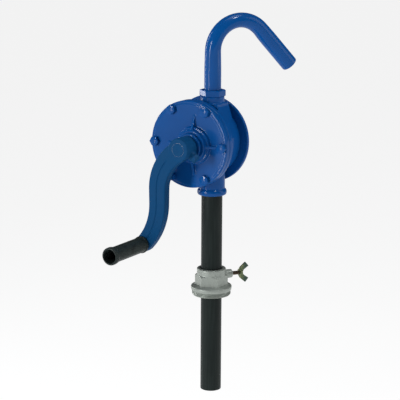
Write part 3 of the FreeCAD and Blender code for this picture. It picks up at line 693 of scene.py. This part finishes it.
def make_crank():
    """Crank: a flat curved bar with rounded edges and a crease down its front, on a round hub."""
    low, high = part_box("crank_arm")
    front, back = low.y / MM, high.y / MM
    shaft_x, shaft_z = GLAND.x / MM, GLAND.z / MM
    thick = 15.0
    stations = 90
    bm = bmesh.new()
    rings = []
    for step in range(stations + 1):
        share = step / stations
        (x, z), heading = crank_line(share)
        half = 15.6 - 2.8 * share
        groove = 1.5 * min(1.0, max(0.0, (share - 0.14) / 0.05))
        outline = soften([(-half, 0.9, 1.6), (-1.1, 0), (0, groove), (1.1, 0.0), (half, 1.0, 2.2),
                          (half, thick, 1.8), (-half, thick, 1.8)], 6)
        side = Vector((-math.sin(heading), 0, math.cos(heading)))
        centre = Vector((shaft_x + x, front, shaft_z + z))
        rings.append([bm.verts.new(centre + side * a + BACK * b) for a, b in outline])
    skin(bm, rings)
    bm.faces.new(rings[0])
    bm.faces.new(list(reversed(rings[-1])))
    shaft = stand(Vector((GLAND.x, 0, GLAND.z)), BACK)
    lathe(bm, soften([(0, front), (17, front, 2.0), (17, back, 1.2), (0, back)]), shaft, 96)
    tip = stand(Vector((HANDLE.x, 0, HANDLE.z)), BACK)
    rear = front + thick
    lathe(bm, soften([(0, front), (12.3, front, 2.0), (12.3, rear, 2.0), (0, rear)]), tip, 72)
    screw = middle("crank_set_screw")
    out = Vector((screw.x - GLAND.x, 0, screw.z - GLAND.z)).normalized()
    boss = stand(Vector((GLAND.x, screw.y, GLAND.z)), out)
    lathe(bm, soften([(0, 5), (8.4, 5), (7.5, 21.4, 1.2), (0, 21.4)]), boss, 64)
    piece = cast(solid("crank_arm_cast", bm), 0.45, 4)
    hole = bmesh.new()
    drum(hole, SHAFT_RADIUS + 0.05, front - 3, back + 3, shaft)
    carve(piece, solid("crank_tool", hole))
    finish_with(piece, "crank", "crank_paint", "crank_arm")

    bm = bmesh.new()
    hexagon(bm, 13, 26.6, boss, 0.7, 21.5)
    drum(bm, 4, 10.1, 21.6, boss, count=32)
    finish_with(solid("crank_set_screw_head", bm), "crank", "crank_paint", "crank_set_screw")

    bm = bmesh.new()
    profile = [(0, -0.02), (0.3, -0.02), (1.1, -0.3), (9.6, -0.3, 0.2), (10, 0.1), (10, 3), (0, 3)]
    lathe(bm, soften(profile), stand(Vector((GLAND.x, front * MM, GLAND.z)), BACK), 96)
    finish_with(solid("shaft_end_face", bm), "crank", "crank_paint")


def make_grip():
    """Grip: thin flange at the crank, slightly swelling barrel, groove, and a rolled mouth."""
    low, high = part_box("grip")
    front, back = low.y / MM, high.y / MM
    axis = stand(Vector((HANDLE.x, 0, HANDLE.z)), BACK)
    bm = bmesh.new()
    profile = [(5.1, back), (12.8, back, 0.6), (13.2, back - 2.6, 0.9), (11.8, back - 3.6, 0.6),
               (11.8, front + 12, 0.5), (11.2, front + 11, 0.4),
               (12.9, front + 9.6, 1.2), (13.5, front + 6, 5), (13.3, front, 2.0), (10.4, front, 1.2),
               (9.7, front + 10, 3), (9.2, front + 28), (5.1, front + 28)]
    lathe(bm, soften(profile, 6), axis, 96, loop=True)
    return finish_with(solid("grip_moulded", bm), "grip", "black_grip", "grip")


# ------------------------------------------------------------------ bung adapter

def make_adapter():
    """Adapter: bung thread, flange, hexagon, round collar, and the clamp screw's boss."""
    low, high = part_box("bung_adapter")
    bottom, top = low.z / MM, high.z / MM
    pitch = 2.309
    axis = stand(Vector())

    def thread(angle, radius, height):
        fade = min(1.0, max(0.0, -height / 0.8))
        return radius - 1.2 * thread_wave(angle, height, pitch) * fade if radius > 28.7 else radius

    bm = bmesh.new()
    rows = int(-bottom / 0.2)
    profile = [(ADAPTER_BORE, bottom), (27.9, bottom)]
    profile += [(29.8 - max(0.0, 1.6 - 0.2 * row), bottom + 0.2 * row) for row in range(1, rows)]
    profile += [(28.6, 0), (28.6, 0.4), (ADAPTER_BORE, 0.4)]
    lathe(bm, profile, axis, 144, loop=True, reach=thread)
    finish_with(solid("bung_thread", bm), "adapter", "cast_zinc")
    bm = bmesh.new()
    lathe(bm, soften([(0, 0), (30.6, 0, 0.6), (31.3, 2.6, 2), (31.3, 6.2, 0.9), (24.6, 8.7, 1), (0, 8.7)]),
          axis, 144)
    hexagon(bm, 44.3, 24, stand(Vector(), UP, math.radians(23.8)), 0.75, 5)
    lathe(bm, soften([(0, 20), (22.2, 20), (22.2, top, 1.3), (0, top)]), axis, 144)
    lathe(bm, soften([(0, 10), (7.2, 10), (7.2, 23), (6.8, 26), (6.6, 33.9, 1.4), (0, 33.9)]),
          stand(SCREW_POINT, SCREW_AXIS), 64)
    piece = cast(solid("bung_adapter_cast", bm), 0.42, 3)
    hole = bmesh.new()
    lathe(hole, [(0, bottom - 3), (ADAPTER_BORE, bottom - 3), (ADAPTER_BORE, top - 1.4),
                 (17.4, top - 0.2), (17.4, top + 3), (0, top + 3)], axis, 128)
    carve(piece, solid("adapter_tool", hole))
    hole = bmesh.new()
    drum(hole, 3.2, 10, 40, stand(SCREW_POINT, SCREW_AXIS), count=48)
    carve(piece, solid("screw_tool", hole))
    return finish_with(piece, "adapter", "cast_zinc", "bung_adapter")


def make_wing_screw():
    """Clamp screw: threaded stem, domed hub and two flat wings that lean outward."""
    where = stand(SCREW_POINT, SCREW_AXIS)

    def thread(angle, radius, height):
        return radius - 0.45 * thread_wave(angle, height, 1.0) if radius > 3 else radius

    bm = bmesh.new()
    profile = [(0, 16.6), (2.4, 16.6)]
    profile += [(3.1, 17 + 0.125 * row) for row in range(230)]
    profile += [(2.8, 46.2), (0, 46.2)]
    lathe(bm, profile, where, 48, reach=thread)
    stem = solid("wing_screw_stem", bm)
    bm = bmesh.new()
    lathe(bm, soften([(0, 45.9), (5.9, 45.9, 0.5), (6.0, 48.0, 1), (4.6, 49.2, 0.8), (4.4, 51.6, 2.4),
                      (0, 52.8)]), where, 64)
    for side in (1, -1):
        outline = soften([(46.2, 1.5 * side), (52.2, 0.5 * side), (54, 4.2 * side, 3),
                          (61.9, 9.6 * side, 0.6), (56.4, 16.2 * side, 0.6), (46.8, 7.8 * side, 3)])
        if side < 0:
            outline.reverse()
        lay = Matrix.Translation(SCREW_POINT / MM) @ Matrix((
            (SCREW_AXIS.x, 0, -SCREW_AXIS.y, 0), (SCREW_AXIS.y, 0, SCREW_AXIS.x, 0),
            (0, 1, 0, 0), (0, 0, 0, 1)))
        prism(bm, outline, 2.7, lay @ Matrix.Translation((0, 0, -1.35)))
    head = cast(solid("wing_screw_head", bm), 0.22, 4)
    finish_with(stem, "wing_screw", "chromated_zinc", "wing_screw")
    finish_with(head, "wing_screw", "chromated_zinc")


# ------------------------------------------------------------------ floor, lights, camera

# The floor stands below the foot of the inner tube when the tube is fully drawn out and the
# pump is at its lowest, so that no pose reaches through it.
TUBE_DRAW = 0.27
PUMP_DROP = 0.112


def make_stage():
    """One even pale floor with a constant glow of its own, under a faint world."""
    bm = bmesh.new()
    bmesh.ops.create_grid(bm, x_segments=8, y_segments=8, size=FLOOR_HALF)
    mesh = bpy.data.meshes.new("floor")
    bm.to_mesh(mesh)
    bm.free()
    floor = bpy.data.objects.new("floor", mesh)
    floor.location.z = cad_box[0][2] - TUBE_DRAW - PUMP_DROP - 0.005
    bpy.context.scene.collection.objects.link(floor)
    pale = Surface("pale_floor", (136, 137, 138), 0.9, specular=0.05)
    pale.tint((128, 130, 131), pale.ramp(pale.noise(700, 2), 0.4, 0.7, 0, 0.5))
    pale.set("Emission Color", (1, 1, 1, 1))
    pale.set("Emission Strength", FLOOR_GLOW)
    floor.data.materials.append(pale.material)
    world = bpy.data.worlds.new("studio")
    world.use_nodes = True
    world.node_tree.nodes["Background"].inputs["Color"].default_value = (1, 1, 1, 1)
    world.node_tree.nodes["Background"].inputs["Strength"].default_value = WORLD_GLOW
    bpy.context.scene.world = world


def softbox(name, place, target, width, height, power):
    data = bpy.data.lights.new(name, "AREA")
    data.shape = "RECTANGLE"
    data.size = width
    data.size_y = height
    data.energy = power
    light = bpy.data.objects.new(name, data)
    light.location = place
    light.rotation_euler = (Vector(target) - Vector(place)).to_track_quat("-Z", "Y").to_euler()
    bpy.context.scene.collection.objects.link(light)


def make_lights():
    aim = (-0.01, 0, 0.22)
    softbox("key_left", (-0.77, -2.05, 0.75), aim, 0.34, 0.8, 20)
    softbox("strip_front", (-0.45, -1.02, 0.14), (0, 0, 0.3), 0.09, 0.44, 2.0)
    softbox("strip_left", (-1.7, 0.0, 0.6), aim, 0.12, 1.3, 8)
    softbox("strip_right", (1.0, 0.5, 0.7), aim, 0.6, 1.2, 4)
    softbox("overhead", (0, 0.4, 2.6), (0, 0.4, 0), 1.2, 1.2, 13)
    softbox("top_right", (0.55, 0.0, 1.9), aim, 0.3, 0.3, 9)
    bpy.context.scene.view_settings.view_transform = "Standard"


def make_camera():
    """Long lens, turned to the object's right and a little above it."""
    bearing, rise, roll = (math.radians(angle) for angle in (31.375, 12.949, -0.299))
    distance = 2.3407
    aim = Vector((-0.0314, 0.0168, 0.1333))
    back = Vector((math.sin(bearing) * math.cos(rise), -math.cos(bearing) * math.cos(rise), math.sin(rise)))
    data = bpy.data.cameras.new("camera")
    data.sensor_width = 36
    data.lens = 136.9
    data.clip_end = 50
    camera = bpy.data.objects.new("camera", data)
    look = (-back).to_track_quat("-Z", "Y")
    camera.rotation_mode = "QUATERNION"
    camera.rotation_quaternion = look @ Matrix.Rotation(-roll, 3, "Z").to_quaternion()
    camera.location = aim + back * distance
    bpy.context.scene.collection.objects.link(camera)
    bpy.context.scene.camera = camera


make_camera()
make_lights()
make_stage()
finish_frame()
make_casing()
make_front_cover()
make_rear_cover()
make_bolts()
make_packing_nut()
make_lock_nut()
make_suction_tube()
make_spout()
make_crank()
make_grip()
make_adapter()
make_wing_screw()
